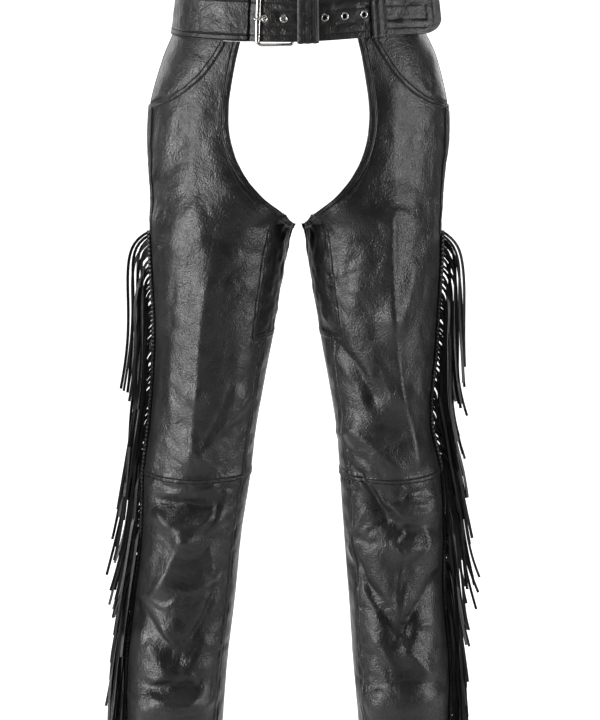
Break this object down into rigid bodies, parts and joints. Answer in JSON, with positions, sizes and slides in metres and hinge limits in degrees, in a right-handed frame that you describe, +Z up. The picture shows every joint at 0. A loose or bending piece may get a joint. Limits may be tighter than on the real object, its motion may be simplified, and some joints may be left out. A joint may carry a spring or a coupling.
{
  "type": "leather chaps",
  "caption": "Leather leg chaps with an open front and seat, a wide buckled belt, curved front pockets and a braided fringe down each outer seam.",
  "frame": {"origin": "middle of the waist opening at the belt's mid-height, where the wearer's waist holds the garment up", "axes": "+X to the wearer's left, -Y to the front, +Z up along the body"},
  "size_m": [0.5244, 0.2424, 1.1131],
  "materials": {
    "black_leather": "fine pebbled grain, low to medium sheen",
    "belt_leather": "thick strap leather, fine pebbled grain",
    "chrome": "polished nickel plate"
  },
  "bodies": {
    "root": {"back_hem_l": "black_leather", "back_hem_r": "black_leather", "back_shin_l": "black_leather", "back_shin_r": "black_leather", "back_thigh_l": "black_leather", "back_thigh_r": "black_leather", "belt_loop_1": "belt_leather", "belt_loop_2": "belt_leather", "belt_strap": "belt_leather", "buckle_frame": "chrome", "buckle_prong": "chrome", "buckle_strap": "belt_leather", "eyelet_1": "chrome", "eyelet_2": "chrome", "eyelet_3": "chrome", "eyelet_4": "chrome", "eyelet_5": "chrome", "eyelet_6": "chrome", "eyelet_7": "chrome", "fringe_l": "black_leather", "fringe_r": "black_leather", "front_hem_l": "black_leather", "front_hem_r": "black_leather", "front_shin_l": "black_leather", "front_shin_r": "black_leather", "front_thigh_l": "black_leather", "front_thigh_r": "black_leather", "gusset_l": "black_leather", "gusset_r": "black_leather", "pocket_facing_l": "black_leather", "pocket_facing_r": "black_leather", "side_strip_l": "black_leather", "side_strip_r": "black_leather", "waistband_l": "belt_leather", "waistband_r": "belt_leather"}
  },
  "joints": []
}
